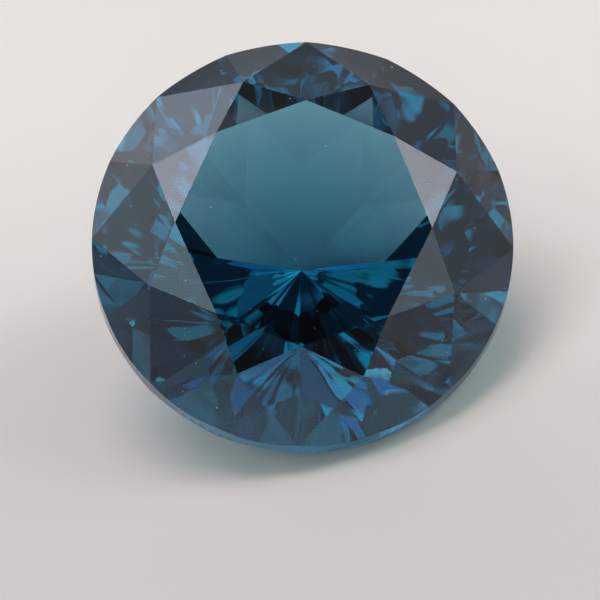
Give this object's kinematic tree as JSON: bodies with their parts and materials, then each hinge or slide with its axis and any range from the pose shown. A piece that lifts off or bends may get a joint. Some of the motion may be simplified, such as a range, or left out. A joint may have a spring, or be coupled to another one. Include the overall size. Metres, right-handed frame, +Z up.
{
  "type": "faceted gemstone",
  "caption": "Round brilliant-cut aquamarine, deep teal blue, lying on one of its pavilion facets with its table facing up and forwards.",
  "frame": {"origin": "centre of the bounding box's bottom face, on the surface that the stone lies on", "axes": "+X along the stone's diameter, +Z up, and the table faces up and towards -Y"},
  "size_m": [0.008, 0.0066, 0.0057],
  "materials": {
    "aquamarine": "polished clear crystal, deep teal blue"
  },
  "bodies": {
    "root": {"aquamarine": "aquamarine"}
  },
  "joints": []
}
